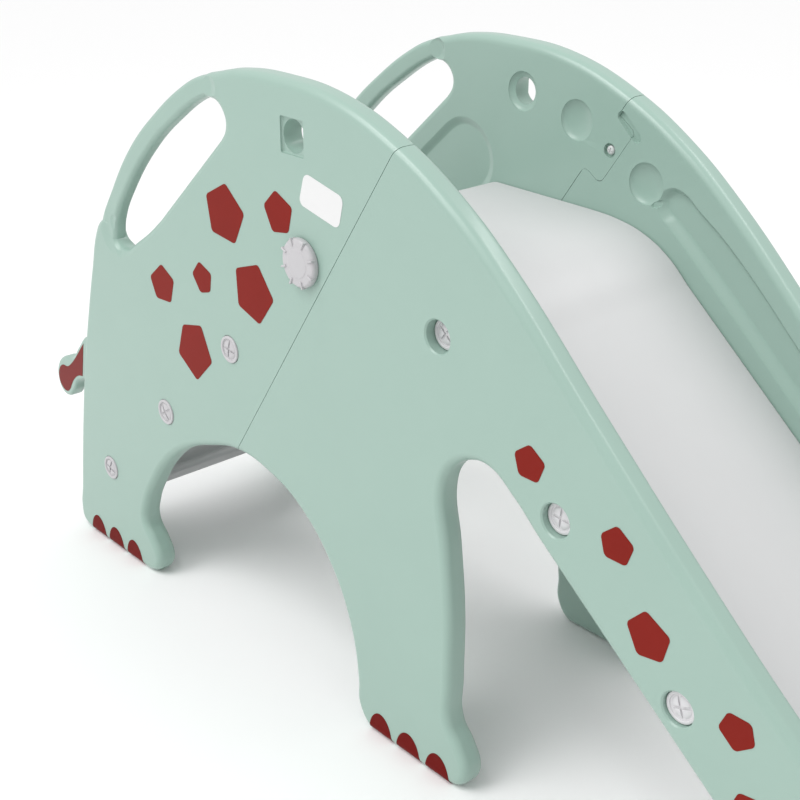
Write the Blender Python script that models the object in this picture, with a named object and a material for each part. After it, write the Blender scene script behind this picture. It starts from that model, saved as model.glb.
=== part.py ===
"""Toddler slide: two moulded side panels, each in two halves, that carry three steps and a slide bed.

Metres. +Z is up, +X is the way the child slides, +Y is the child's left.
The origin is at the middle of the overall box, on the ground.
"""

from math import cos, pi, radians, sin

import bmesh
import bpy
from mathutils import Matrix, Vector

# Overall sizes
OVERALL_LENGTH = 1.633  # tail to nose
OVERALL_HEIGHT = 0.754
OVERALL_WIDTH = 0.380

# Walls, edges and clearances
PANEL_THICKNESS = 0.031
PANEL_EDGE = 0.010  # rounding round the outside of a panel
GAP = 0.0003  # between pieces that touch
BORE_GAP = 0.0003  # between a shank and its bore, all round

# Hand grip
GRIP_THICKNESS = 0.025
GRIP_EDGE = 0.0090

# Lap joint between the halves of a side panel
LAP_LENGTH = 0.030
LAP_FROM_TOP = 0.018
LAP_HEIGHT = 0.080
LAP_CORNER = 0.008

# Slide bed and steps
BED_THICKNESS = 0.034
BED_EDGE = 0.003
STEP_DEPTH = 0.130
STEP_THICKNESS = 0.034
STEP_LIP_DEPTH = 0.020
STEP_LIP_THICKNESS = 0.014
STEP_EDGE = 0.003

# Plastic bolts with a cross slot
BOLT_HEAD_RADIUS = 0.0170
BOLT_HEAD_THICKNESS = 0.005
BOLT_SHANK_RADIUS = 0.006
BOLT_GRIP = 0.024  # how far a shank reaches into a step or the bed
SLOT_LENGTH = 0.020
SLOT_WIDTH = 0.0040
SLOT_DEPTH = 0.0022
COUNTERBORE_GAP = 0.0005

# Hand knobs, lap screws, accessory sockets
KNOB_RADIUS = 0.029
KNOB_THICKNESS = 0.010
KNOB_CENTRE_RADIUS = 0.017
KNOB_CENTRE_RISE = 0.004
KNOB_RIBS = 8
KNOB_SHANK_RADIUS = 0.007
SCREW_HEAD_RADIUS = 0.0055
SCREW_HEAD_THICKNESS = 0.003
SCREW_SHANK_RADIUS = 0.0025
SCREW_LENGTH = 0.021
SCREW_DISH_DEPTH = 0.004
SOCKET_SIZE = 0.040
SOCKET_DEPTH = 0.0035
SOCKET_MOUTH_RADIUS = 0.0185
SOCKET_HOLE_RADIUS = 0.015
SOCKET_DISH_RADIUS = 0.024
SOCKET_DISH_DEPTH = 0.006
TAIL_THICKNESS = 0.021
TAIL_INSET = 0.005  # the tail's outer face, in from the panel's
TAIL_EDGE = 0.006

# The side outlines are drawn 1.633 long and 0.754 high, and stretch to the overall sizes
DRAWN_LENGTH = 1.633
DRAWN_HEIGHT = 0.754
DRAWN_REAR = -0.071

MINT = (0.462, 0.597, 0.547)
PALE_GREY = (0.70, 0.70, 0.71)
STEP_GREY = (0.30, 0.30, 0.31)
BOLT_GREY = (0.62, 0.61, 0.63)

SMOOTH, CORNER, RUN_START, RUN_END = "smooth", "corner", "run start", "run end"


def at(x, z):
    """A point of the drawn side view, stretched to the overall sizes, with the origin at mid length."""
    along = (x - DRAWN_REAR) / DRAWN_LENGTH - 0.5
    return Vector((along * OVERALL_LENGTH, 0.0, z / DRAWN_HEIGHT * OVERALL_HEIGHT))


INNER_FACE = OVERALL_WIDTH / 2 - PANEL_THICKNESS
OUTER_FACE = OVERALL_WIDTH / 2
MID_PLANE = OVERALL_WIDTH / 2 - PANEL_THICKNESS / 2

# Straight runs lie between a run start and a run end; the rest is one smooth curve through the points
SIDE_OUTLINE = (
    (-0.005, 0.000, RUN_START),  # rear foot
    (0.158, 0.000, RUN_END),
    (0.179, 0.010, SMOOTH),
    (0.186, 0.031, SMOOTH),
    (0.172, 0.056, SMOOTH),
    (0.155, 0.077, SMOOTH),
    (0.161, 0.107, SMOOTH),  # belly arch
    (0.183, 0.146, SMOOTH),
    (0.217, 0.190, SMOOTH),
    (0.265, 0.230, SMOOTH),
    (0.330, 0.260, SMOOTH),
    (0.396, 0.277, SMOOTH),
    (0.460, 0.270, SMOOTH),
    (0.517, 0.247, SMOOTH),
    (0.573, 0.194, SMOOTH),
    (0.608, 0.125, SMOOTH),
    (0.620, 0.060, SMOOTH),
    (0.622, 0.025, SMOOTH),
    (0.644, 0.000, RUN_START),  # front foot
    (0.780, 0.000, RUN_END),
    (0.801, 0.010, SMOOTH),
    (0.808, 0.031, SMOOTH),
    (0.797, 0.056, SMOOTH),
    (0.779, 0.080, SMOOTH),
    (0.778, 0.130, SMOOTH),
    (0.778, 0.215, SMOOTH),
    (0.770, 0.300, SMOOTH),
    (0.762, 0.366, SMOOTH),
    (0.774, 0.396, SMOOTH),  # between the leg and the neck
    (0.800, 0.415, SMOOTH),
    (0.828, 0.418, SMOOTH),
    (0.862, 0.398, SMOOTH),
    (0.900, 0.366, RUN_START),  # neck, underside
    (1.290, 0.062, RUN_END),
    (1.340, 0.024, SMOOTH),
    (1.395, 0.000, RUN_START),  # lower end
    (1.515, 0.000, RUN_END),
    (1.548, 0.017, SMOOTH),
    (1.562, 0.055, SMOOTH),
    (1.550, 0.100, SMOOTH),
    (1.510, 0.132, SMOOTH),
    (1.440, 0.152, SMOOTH),
    (1.360, 0.187, SMOOTH),
    (1.285, 0.233, SMOOTH),
    (1.187, 0.307, SMOOTH),  # rail
    (1.092, 0.388, SMOOTH),
    (0.956, 0.511, SMOOTH),
    (0.840, 0.618, SMOOTH),
    (0.764, 0.675, SMOOTH),
    (0.685, 0.717, SMOOTH),
    (0.590, 0.747, SMOOTH),
    (0.495, 0.754, SMOOTH),
    (0.425, 0.750, SMOOTH),
    (0.385, 0.7415, SMOOTH),
    (0.362, 0.7345, SMOOTH),  # shoulder at the upper end of the hand grip
    (0.3535, 0.7250, SMOOTH),
    (0.3570, 0.7145, SMOOTH),
    (0.3690, 0.7105, SMOOTH),
    (0.3840, 0.7085, SMOOTH),
    (0.3965, 0.6995, SMOOTH),
    (0.401, 0.686, SMOOTH),
    (0.390, 0.667, RUN_START),  # lower side of the hand hole
    (0.250, 0.542, RUN_END),
    (0.190, 0.499, SMOOTH),
    (0.158, 0.4815, SMOOTH),
    (0.142, 0.485, SMOOTH),
    (0.131, 0.501, SMOOTH),
    (0.116, 0.512, SMOOTH),  # shoulder at the lower end of the hand grip
    (0.100, 0.507, SMOOTH),
    (0.087, 0.490, SMOOTH),
    (0.067, 0.435, SMOOTH),  # rear edge
    (0.047, 0.374, SMOOTH),
    (0.016, 0.267, SMOOTH),
    (-0.011, 0.147, SMOOTH),
    (-0.026, 0.067, SMOOTH),
    (-0.033, 0.030, SMOOTH),
    (-0.027, 0.008, SMOOTH),
)
GRIP_BAR = (
    (0.130, 0.455, CORNER),
    (0.090, 0.455, CORNER),
    (0.0985, 0.500, SMOOTH),
    (0.134, 0.556, SMOOTH),
    (0.187, 0.621, SMOOTH),
    (0.250, 0.674, SMOOTH),
    (0.308, 0.710, SMOOTH),
    (0.346, 0.7285, SMOOTH),
    (0.392, 0.741, CORNER),
    (0.400, 0.720, CORNER),
    (0.356, 0.7075, SMOOTH),
    (0.294, 0.672, SMOOTH),
    (0.233, 0.626, SMOOTH),
    (0.170, 0.559, SMOOTH),
    (0.133, 0.503, SMOOTH),
)
TAIL_OUTLINE = (
    (0.060, 0.325, CORNER),
    (0.026, 0.320, SMOOTH),
    (0.000, 0.296, SMOOTH),
    (-0.022, 0.273, SMOOTH),
    (-0.050, 0.266, SMOOTH),
    (-0.067, 0.249, SMOOTH),
    (-0.071, 0.229, SMOOTH),
    (-0.062, 0.210, SMOOTH),
    (-0.043, 0.206, SMOOTH),
    (-0.026, 0.219, SMOOTH),
    (-0.010, 0.240, SMOOTH),
    (0.012, 0.248, SMOOTH),
    (0.060, 0.252, CORNER),
)
# Sliding surface: platform, slope and run-out
BED_TOP = (
    (0.492, 0.5765, RUN_START),
    (0.640, 0.5755, RUN_END),
    (0.687, 0.573, SMOOTH),
    (0.728, 0.564, SMOOTH),
    (0.764, 0.546, SMOOTH),
    (0.799, 0.516, RUN_START),
    (1.185, 0.196, RUN_END),
    (1.252, 0.146, SMOOTH),
    (1.320, 0.110, SMOOTH),
    (1.385, 0.094, SMOOTH),
    (1.440, 0.090, RUN_START),
    (1.505, 0.088, RUN_END),
)

SEAM_TOP = at(0.687, 0.705)
SEAM_BOTTOM = at(0.396, 0.281)
LAP_SCREW = at(0.668, 0.649)
SOCKET_CENTRE = at(0.528, 0.695)
KNOB_CENTRE = at(0.541, 0.5600)
STEP_CENTRES = {
    "lower_step": at(0.075, 0.134),
    "middle_step": at(0.236, 0.277),
    "upper_step": at(0.392, 0.413),
}
# Bolts into the bed: centre, and how deep the head's face lies below the panel's face
BED_BOLTS = (
    (at(0.755, 0.536), 0.012),
    (at(0.921, 0.398), 0.008),
    (at(1.079, 0.269), 0.005),
    (at(1.237, 0.140), 0.005),
)
STEP_BOLT_FACE = -0.002  # a step bolt's head stands a little proud


def clear_scene():
    for old in list(bpy.data.objects):
        bpy.data.objects.remove(old)


def material(name, colour, roughness):
    made = bpy.data.materials.new(name)
    made.use_nodes = True
    shader = made.node_tree.nodes["Principled BSDF"]
    shader.inputs["Base Color"].default_value = (*colour, 1.0)
    shader.inputs["Roughness"].default_value = roughness
    shader.inputs["Metallic"].default_value = 0.0
    return made


def mesh_object(name, mesh):
    made = bpy.data.objects.new(name, mesh)
    bpy.context.scene.collection.objects.link(made)
    return made


def finish(piece, name, finish_of, origin=None):
    """Names a piece, shades it, gives it its material and puts its origin where it belongs."""
    piece.name = name
    piece.data.name = name
    piece.data.materials.clear()
    piece.data.materials.append(finish_of)
    piece.data.shade_smooth()
    piece.data.set_sharp_from_angle(angle=radians(38))
    if origin is not None:
        piece.data.transform(Matrix.Translation(-origin))
        piece.location = origin
    return piece


def weld(mesh):
    """Closes the joints between the caps and the sides of a mesh made from a curve."""
    work = bmesh.new()
    work.from_mesh(mesh)
    bmesh.ops.remove_doubles(work, verts=work.verts, dist=1e-6)
    bmesh.ops.dissolve_degenerate(work, edges=work.edges, dist=1e-6)
    bmesh.ops.recalc_face_normals(work, faces=work.faces)
    work.to_mesh(mesh)
    work.free()


def solid_mesh(source):
    """The mesh of an object with its modifiers applied; the object is removed."""
    bpy.context.view_layer.update()
    graph = bpy.context.evaluated_depsgraph_get()
    made = bpy.data.meshes.new_from_object(source.evaluated_get(graph))
    made.transform(source.matrix_world)
    bpy.data.objects.remove(source)
    return made


def add_spline(curve, outline):
    spline = curve.splines.new("BEZIER")
    spline.bezier_points.add(len(outline) - 1)
    spline.use_cyclic_u = True
    for point, (x, z, kind) in zip(spline.bezier_points, outline):
        place = at(x, z)
        point.co = (place.x, place.z, 0.0)
        point.handle_left_type = "VECTOR" if kind in (CORNER, RUN_END) else "AUTO"
        point.handle_right_type = "VECTOR" if kind in (CORNER, RUN_START) else "AUTO"


def plate(name, outline, middle, thickness, edge, steps):
    """A flat moulding in the side view, centred on the plane y = middle, with a rounded edge."""
    curve = bpy.data.curves.new(name, "CURVE")
    curve.dimensions = "2D"
    curve.fill_mode = "BOTH"
    curve.resolution_u = steps
    curve.extrude = thickness / 2 - edge
    curve.bevel_depth = edge
    curve.bevel_resolution = 1
    curve.offset = -edge
    add_spline(curve, outline)
    drawn = bpy.data.objects.new(name, curve)
    bpy.context.scene.collection.objects.link(drawn)
    drawn.rotation_euler = (pi / 2, 0.0, 0.0)
    drawn.location = (0.0, middle, 0.0)
    mesh = solid_mesh(drawn)
    weld(mesh)
    return mesh_object(name, mesh)


def prism(name, profile, depth_axis, start, end):
    """A solid with a flat profile of 3-D points, pushed along an axis from start to end."""
    work = bmesh.new()
    face = work.faces.new([work.verts.new(point + depth_axis * start) for point in profile])
    pushed = bmesh.ops.extrude_face_region(work, geom=[face])
    moved = [item for item in pushed["geom"] if isinstance(item, bmesh.types.BMVert)]
    bmesh.ops.translate(work, verts=moved, vec=depth_axis * (end - start))
    bmesh.ops.recalc_face_normals(work, faces=work.faces)
    mesh = bpy.data.meshes.new(name)
    work.to_mesh(mesh)
    work.free()
    return mesh_object(name, mesh)


def turned(name, profile, centre, segments):
    """A solid turned about an axis along Y through the centre; the profile is (radius, y)."""
    work = bmesh.new()
    verts = [work.verts.new((radius, y, 0.0)) for radius, y in profile]
    edges = [work.edges.new(pair) for pair in zip(verts, verts[1:])]
    bmesh.ops.spin(
        work, geom=verts + edges, cent=(0, 0, 0), axis=(0, 1, 0), angle=2 * pi, steps=segments
    )
    bmesh.ops.remove_doubles(work, verts=work.verts, dist=1e-6)
    bmesh.ops.recalc_face_normals(work, faces=work.faces)
    bmesh.ops.translate(work, verts=work.verts, vec=centre)
    mesh = bpy.data.meshes.new(name)
    work.to_mesh(mesh)
    work.free()
    return mesh_object(name, mesh)


def boolean(target, tool, operation):
    step = target.modifiers.new(operation, "BOOLEAN")
    step.operation = operation
    step.solver = "EXACT"
    step.object = tool
    name = target.name
    mesh = solid_mesh(target)
    bpy.data.objects.remove(tool)
    return mesh_object(name, mesh)


def copy_of(piece, name):
    return mesh_object(name, piece.data.copy())


def mirrored(piece, name, finish_of, origin=None):
    """The same piece for the other side of the slide."""
    mesh = piece.data.copy()
    mesh.transform(piece.matrix_world)
    mesh.transform(Matrix.Scale(-1.0, 4, Vector((0, 1, 0))))
    mesh.flip_normals()
    made = mesh_object(name, mesh)
    return finish(made, name, finish_of, origin)


def lap_region(name, grow):
    """The rear half's side of the lap joint: the seam runs straight through the outer half of the wall.

    Behind it the inner half reaches forward in a tongue with rounded corners.
    """
    along = (SEAM_BOTTOM - SEAM_TOP).normalized()
    forward = Vector((-along.z, 0.0, along.x))
    far = OVERALL_LENGTH
    rear = [
        SEAM_TOP - along * far + forward * grow,
        SEAM_TOP + along * far + forward * grow,
        SEAM_TOP + along * far - forward * far,
        SEAM_TOP - along * far - forward * far,
    ]
    y_axis = Vector((0, 1, 0))
    behind = prism(name, rear, y_axis, -OUTER_FACE - 0.02, -INNER_FACE + 0.02)
    top = LAP_FROM_TOP - grow
    bottom = LAP_FROM_TOP + LAP_HEIGHT + grow
    reach = LAP_LENGTH + grow
    corner = LAP_CORNER
    turns = [radians(angle) for angle in (0, 30, 60, 90)]
    lower = [(reach - corner + corner * cos(a), bottom - corner + corner * sin(a)) for a in turns]
    upper = [(reach - corner + corner * sin(a), top + corner - corner * cos(a)) for a in turns]
    tongue = [(-0.02, top), *upper, *lower, (-0.02, bottom)]
    outline = [SEAM_TOP + forward * out + along * down for out, down in tongue]
    overlap = prism("tongue", outline, y_axis, -MID_PLANE - grow, -INNER_FACE + 0.02)
    return boolean(behind, overlap, "UNION")


def bore_profile(shank, head, face_depth):
    """A stepped bore from outside the panel, through it: (radius, y) from the outer end inwards."""
    seat = -OUTER_FACE + face_depth + BOLT_HEAD_THICKNESS
    return (
        (0.0, -OUTER_FACE - 0.02),
        (head, -OUTER_FACE - 0.02),
        (head, seat),
        (shank, seat),
        (shank, -INNER_FACE + 0.02),
        (0.0, -INNER_FACE + 0.02),
    )


def bore_for_bolt(panel, centre, face_depth):
    profile = bore_profile(
        BOLT_SHANK_RADIUS + BORE_GAP, BOLT_HEAD_RADIUS + COUNTERBORE_GAP, face_depth
    )
    return boolean(panel, turned("bolt_bore", profile, centre, 20), "DIFFERENCE")


def cut_socket(panel):
    """The accessory socket: a shallow square pocket outside, a tapering round hole, and a dish inside."""
    half = SOCKET_SIZE / 2
    corners = [
        SOCKET_CENTRE + Vector((x * half, 0.0, z * half))
        for x, z in ((-1, -1), (1, -1), (1, 1), (-1, 1))
    ]
    y_axis = Vector((0, 1, 0))
    pocket = prism("pocket", corners, y_axis, -OUTER_FACE - 0.02, -OUTER_FACE + SOCKET_DEPTH)
    hole = (
        (0.0, -OUTER_FACE),
        (SOCKET_MOUTH_RADIUS, -OUTER_FACE),
        (SOCKET_MOUTH_RADIUS, -OUTER_FACE + SOCKET_DEPTH),
        (SOCKET_HOLE_RADIUS, -INNER_FACE - SOCKET_DISH_DEPTH),
        (SOCKET_DISH_RADIUS, -INNER_FACE),
        (SOCKET_DISH_RADIUS, -INNER_FACE + 0.02),
        (0.0, -INNER_FACE + 0.02),
    )
    panel = boolean(panel, pocket, "DIFFERENCE")
    return boolean(panel, turned("hole", hole, SOCKET_CENTRE, 24), "DIFFERENCE")


def make_right_side():
    """The whole right side, bored, then split into its rear and front halves."""
    side = plate("side", SIDE_OUTLINE, -MID_PLANE, PANEL_THICKNESS, PANEL_EDGE, 3)
    grip = plate("grip", GRIP_BAR, -MID_PLANE, GRIP_THICKNESS, GRIP_EDGE, 3)
    side = boolean(side, grip, "UNION")
    tail_middle = -OUTER_FACE + TAIL_INSET + TAIL_THICKNESS / 2
    tail = plate("tail", TAIL_OUTLINE, tail_middle, TAIL_THICKNESS, TAIL_EDGE, 3)
    side = boolean(side, tail, "UNION")
    for centre in STEP_CENTRES.values():
        side = bore_for_bolt(side, centre, STEP_BOLT_FACE)
    for centre, face_depth in BED_BOLTS:
        side = bore_for_bolt(side, centre, face_depth)
    knob_bore = (
        (0.0, -OUTER_FACE - 0.02),
        (KNOB_SHANK_RADIUS + BORE_GAP, -OUTER_FACE - 0.02),
        (KNOB_SHANK_RADIUS + BORE_GAP, -INNER_FACE + 0.02),
        (0.0, -INNER_FACE + 0.02),
    )
    side = boolean(side, turned("knob_bore", knob_bore, KNOB_CENTRE, 20), "DIFFERENCE")
    side = cut_socket(side)
    inner = -INNER_FACE
    screw_bore = (
        (0.0, inner - SCREW_DISH_DEPTH - SCREW_LENGTH - 0.001),
        (SCREW_SHANK_RADIUS + BORE_GAP, inner - SCREW_DISH_DEPTH - SCREW_LENGTH - 0.001),
        (SCREW_SHANK_RADIUS + BORE_GAP, inner - SCREW_DISH_DEPTH),
        (SCREW_HEAD_RADIUS + COUNTERBORE_GAP, inner - SCREW_DISH_DEPTH),
        (SCREW_HEAD_RADIUS + COUNTERBORE_GAP, inner + 0.02),
        (0.0, inner + 0.02),
    )
    side = boolean(side, turned("screw_bore", screw_bore, LAP_SCREW, 16), "DIFFERENCE")
    rear = boolean(copy_of(side, "rear"), lap_region("lap", 0.0), "INTERSECT")
    front = boolean(side, lap_region("lap", GAP), "DIFFERENCE")
    return rear, front


def bed_outline():
    """The sliding surface and, a bed's thickness below it along its normal, the underside."""
    underside = []
    points = [at(x, z) for x, z, _ in BED_TOP]
    for index, (_, _, kind) in enumerate(BED_TOP):
        before = points[max(index - 1, 0)]
        after = points[min(index + 1, len(points) - 1)]
        if kind == RUN_START:
            before = points[index]
        if kind == RUN_END:
            after = points[index]
        run = (after - before).normalized()
        lower = points[index] + Vector((run.z, 0.0, -run.x)) * BED_THICKNESS
        underside.append((lower, kind))
    top = list(zip(points, (kind for _, _, kind in BED_TOP)))
    swap = {RUN_START: RUN_END, RUN_END: RUN_START, SMOOTH: SMOOTH}
    below = [(point, swap[kind]) for point, kind in reversed(underside)]
    return top, below


def rounded_end(top_end, below_end, outwards):
    """Two points that round off an end of the bed."""
    middle = (top_end + below_end) / 2
    reach = outwards * BED_THICKNESS * 0.5
    return [
        (middle + (top_end - middle) * 0.72 + reach * 0.72, SMOOTH),
        (middle + reach, SMOOTH),
        (middle + (below_end - middle) * 0.72 + reach * 0.72, SMOOTH),
    ]


def across(name, outline, edge, steps):
    """A moulding that spans the space between the side panels, from its outline in the side view."""
    curve = bpy.data.curves.new(name, "CURVE")
    curve.dimensions = "2D"
    curve.fill_mode = "BOTH"
    curve.resolution_u = steps
    curve.extrude = INNER_FACE - GAP - edge
    curve.bevel_depth = edge
    curve.bevel_resolution = 0
    curve.offset = -edge
    spline = curve.splines.new("BEZIER")
    spline.bezier_points.add(len(outline) - 1)
    spline.use_cyclic_u = True
    for point, (place, kind) in zip(spline.bezier_points, outline):
        point.co = (place.x, place.z, 0.0)
        point.handle_left_type = "VECTOR" if kind in (CORNER, RUN_END) else "AUTO"
        point.handle_right_type = "VECTOR" if kind in (CORNER, RUN_START) else "AUTO"
    drawn = bpy.data.objects.new(name, curve)
    bpy.context.scene.collection.objects.link(drawn)
    drawn.rotation_euler = (pi / 2, 0.0, 0.0)
    mesh = solid_mesh(drawn)
    weld(mesh)
    return mesh_object(name, mesh)


def side_sockets(piece, centre, radius, depth):
    """Blind bores in both ends of a piece that spans the slide."""
    for side in (-1, 1):
        profile = (
            (0.0, side * (INNER_FACE + 0.01)),
            (radius, side * (INNER_FACE + 0.01)),
            (radius, side * (INNER_FACE - depth)),
            (0.0, side * (INNER_FACE - depth)),
        )
        piece = boolean(piece, turned("socket", profile, centre, 16), "DIFFERENCE")
    return piece


def make_bed():
    top, below = bed_outline()
    backwards = Vector((-1, 0, 0))
    front_end = rounded_end(top[-1][0], below[0][0], Vector((1, 0, 0)))
    rear_end = rounded_end(below[-1][0], top[0][0], backwards)
    bed = across("bed", [*top, *front_end, *below, *rear_end], BED_EDGE, 4)
    for centre, _ in BED_BOLTS:
        bed = side_sockets(bed, centre, BOLT_SHANK_RADIUS + BORE_GAP, BOLT_GRIP + 0.001)
    return side_sockets(bed, KNOB_CENTRE, KNOB_SHANK_RADIUS + BORE_GAP, BOLT_GRIP + 0.001)


def make_step(name, centre):
    """A tread with a thinner lip along its back edge."""
    front = -STEP_DEPTH / 2
    back = STEP_DEPTH / 2
    top = STEP_THICKNESS / 2
    bottom = -STEP_THICKNESS / 2
    round_off = STEP_THICKNESS * 0.3
    lip_start = back - STEP_LIP_DEPTH
    lip_top = bottom + STEP_LIP_THICKNESS
    outline = (
        (front + round_off, bottom, RUN_START),
        (back - 0.004, bottom, RUN_END),
        (back, bottom + 0.004, RUN_START),
        (back, lip_top - 0.004, RUN_END),
        (back - 0.004, lip_top, SMOOTH),
        (lip_start, lip_top + 0.003, SMOOTH),
        (lip_start - 0.007, (lip_top + top) / 2 + 0.003, SMOOTH),
        (lip_start - 0.016, top, RUN_START),
        (front + round_off, top, RUN_END),
        (front + round_off * 0.3, top - round_off * 0.3, SMOOTH),
        (front, top - round_off, RUN_START),
        (front, bottom + round_off, RUN_END),
        (front + round_off * 0.3, bottom + round_off * 0.3, SMOOTH),
    )
    placed = [(centre + Vector((x, 0.0, z)), kind) for x, z, kind in outline]
    step = across(name, placed, STEP_EDGE, 3)
    return side_sockets(step, centre, BOLT_SHANK_RADIUS + BORE_GAP, BOLT_GRIP + 0.001)


def make_bolt(name, centre, face_depth, turn):
    """A right-hand side bolt: round head with a cross slot, and a plain shank for the thread."""
    face = -OUTER_FACE + face_depth
    seat = face + BOLT_HEAD_THICKNESS - GAP
    tip = -INNER_FACE + BOLT_GRIP
    round_off = BOLT_HEAD_THICKNESS * 0.3
    profile = (
        (0.0, face),
        (BOLT_HEAD_RADIUS - round_off, face),
        (BOLT_HEAD_RADIUS, face + round_off),
        (BOLT_HEAD_RADIUS, seat),
        (BOLT_SHANK_RADIUS, seat),
        (BOLT_SHANK_RADIUS, tip - 0.002),
        (BOLT_SHANK_RADIUS - 0.002, tip),
        (0.0, tip),
    )
    bolt = turned(name, profile, centre, 20)
    long, wide = SLOT_LENGTH / 2, SLOT_WIDTH / 2
    cross = (
        (-wide, -long), (wide, -long), (wide, -wide), (long, -wide), (long, wide), (wide, wide),
        (wide, long), (-wide, long), (-wide, wide), (-long, wide), (-long, -wide), (-wide, -wide),
    )
    spin = Matrix.Rotation(turn, 3, Vector((0, 1, 0)))
    outline = [centre + spin @ Vector((x, 0.0, z)) for x, z in cross]
    slot = prism("slot", outline, Vector((0, 1, 0)), face - 0.005, face + SLOT_DEPTH)
    return boolean(bolt, slot, "DIFFERENCE")


def make_knob(name):
    """The right hand knob: ribbed disc with a raised centre, on a shank that screws into the bed."""
    face = -OUTER_FACE - GAP
    front = face - KNOB_THICKNESS
    tip = -INNER_FACE + BOLT_GRIP
    profile = (
        (0.0, front - KNOB_CENTRE_RISE),
        (KNOB_CENTRE_RADIUS - 0.003, front - KNOB_CENTRE_RISE),
        (KNOB_CENTRE_RADIUS, front - KNOB_CENTRE_RISE + 0.0015),
        (KNOB_CENTRE_RADIUS + 0.001, front),
        (KNOB_RADIUS - 0.004, front + 0.0005),
        (KNOB_RADIUS - 0.001, front + 0.003),
        (KNOB_RADIUS, front + 0.006),
        (KNOB_RADIUS, face),
        (KNOB_SHANK_RADIUS, face),
        (KNOB_SHANK_RADIUS, tip - 0.002),
        (KNOB_SHANK_RADIUS - 0.002, tip),
        (0.0, tip),
    )
    knob = turned(name, profile, KNOB_CENTRE, 32)
    rib_inner = KNOB_CENTRE_RADIUS + 0.004
    rib_outer = KNOB_RADIUS + 0.0012
    rib = ((rib_inner, -0.0015), (rib_outer, -0.0015), (rib_outer, 0.0015), (rib_inner, 0.0015))
    for index in range(KNOB_RIBS):
        spin = Matrix.Rotation(2 * pi * (index + 0.5) / KNOB_RIBS, 3, Vector((0, 1, 0)))
        outline = [KNOB_CENTRE + spin @ Vector((x, 0.0, z)) for x, z in rib]
        bar = prism("rib", outline, Vector((0, 1, 0)), front - 0.0015, face - 0.003)
        knob = boolean(knob, bar, "UNION")
    return knob


def make_lap_screw(name):
    seat = -INNER_FACE - SCREW_DISH_DEPTH + GAP
    head = seat + SCREW_HEAD_THICKNESS
    tip = seat - SCREW_LENGTH
    profile = (
        (0.0, tip),
        (SCREW_SHANK_RADIUS - 0.001, tip),
        (SCREW_SHANK_RADIUS, tip + 0.002),
        (SCREW_SHANK_RADIUS, seat),
        (SCREW_HEAD_RADIUS, seat),
        (SCREW_HEAD_RADIUS, head - 0.001),
        (SCREW_HEAD_RADIUS - 0.001, head),
        (0.0, head),
    )
    return turned(name, profile, LAP_SCREW, 16)


def both_sides(right, name, finish_of, origin=None):
    finish(right, "right_" + name, finish_of)
    across_origin = None if origin is None else Vector((origin.x, -origin.y, origin.z))
    mirrored(right, "left_" + name, finish_of, across_origin)
    if origin is not None:
        finish(right, "right_" + name, finish_of, origin)


def main():
    clear_scene()
    mint = material("mint_moulding", MINT, 0.42)
    pale = material("pale_grey_moulding", PALE_GREY, 0.45)
    grey = material("grey_moulding", STEP_GREY, 0.5)
    bolt_grey = material("fastener_grey", BOLT_GREY, 0.4)
    rear, front = make_right_side()
    both_sides(rear, "rear_panel", mint)
    both_sides(front, "front_panel", mint)
    finish(make_bed(), "slide_bed", pale)
    for name, centre in STEP_CENTRES.items():
        finish(make_step(name, centre), name, grey)
    turns = [radians(angle) for angle in (20, -35, 10, 40, 5, -20, 30)]
    seats = [(centre, STEP_BOLT_FACE) for centre in STEP_CENTRES.values()]
    names = [name + "_bolt" for name in STEP_CENTRES]
    names += [f"bed_bolt_{index + 1}" for index in range(len(BED_BOLTS))]
    for name, (centre, depth), turn in zip(names, [*seats, *BED_BOLTS], turns):
        both_sides(make_bolt(name, centre, depth, turn), name, bolt_grey)
    knob_origin = KNOB_CENTRE + Vector((0.0, -OUTER_FACE, 0.0))
    both_sides(make_knob("knob"), "hand_knob", bolt_grey, knob_origin)
    both_sides(make_lap_screw("lap_screw"), "lap_screw", bolt_grey)


main()
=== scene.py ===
"""Looks of the toddler slide: side panels, treads, slide bed, fasteners, labels, floor and light.

Metres. +Z is up, +X is the way the child slides, +Y is the child's left. Pieces for the right side
are made first, and the left side's are mirror images of them.
"""

from math import cos, pi, radians, sin, sqrt

import bpy
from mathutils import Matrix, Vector


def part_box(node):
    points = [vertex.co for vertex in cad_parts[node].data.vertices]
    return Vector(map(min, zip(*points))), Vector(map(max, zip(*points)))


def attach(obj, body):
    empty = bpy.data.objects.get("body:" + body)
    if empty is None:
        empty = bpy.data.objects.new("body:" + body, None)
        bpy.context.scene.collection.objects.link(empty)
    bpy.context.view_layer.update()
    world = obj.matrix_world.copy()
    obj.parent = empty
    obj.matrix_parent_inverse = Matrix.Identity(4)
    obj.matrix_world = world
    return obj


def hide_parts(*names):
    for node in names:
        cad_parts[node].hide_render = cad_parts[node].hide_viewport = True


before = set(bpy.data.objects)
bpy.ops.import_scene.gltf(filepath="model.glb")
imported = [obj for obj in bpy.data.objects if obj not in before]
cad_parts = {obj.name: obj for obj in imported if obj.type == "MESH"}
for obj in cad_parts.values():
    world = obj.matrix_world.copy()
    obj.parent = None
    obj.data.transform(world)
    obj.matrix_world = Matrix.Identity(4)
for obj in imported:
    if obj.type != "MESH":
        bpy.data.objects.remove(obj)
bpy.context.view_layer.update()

# Places and sizes taken from the frame
REAR = min(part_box("right_rear_panel")[0].x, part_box("left_rear_panel")[0].x)
OUTER = -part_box("right_rear_panel")[0].y  # outer face of a panel, from the middle
INNER = -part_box("right_rear_panel")[1].y
PANEL = OUTER - INNER
MID = (OUTER + INNER) / 2
DRAWN_REAR = -0.07123  # the tail's rearmost point in the side view
GAP = 0.0003  # between pieces that touch

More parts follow.
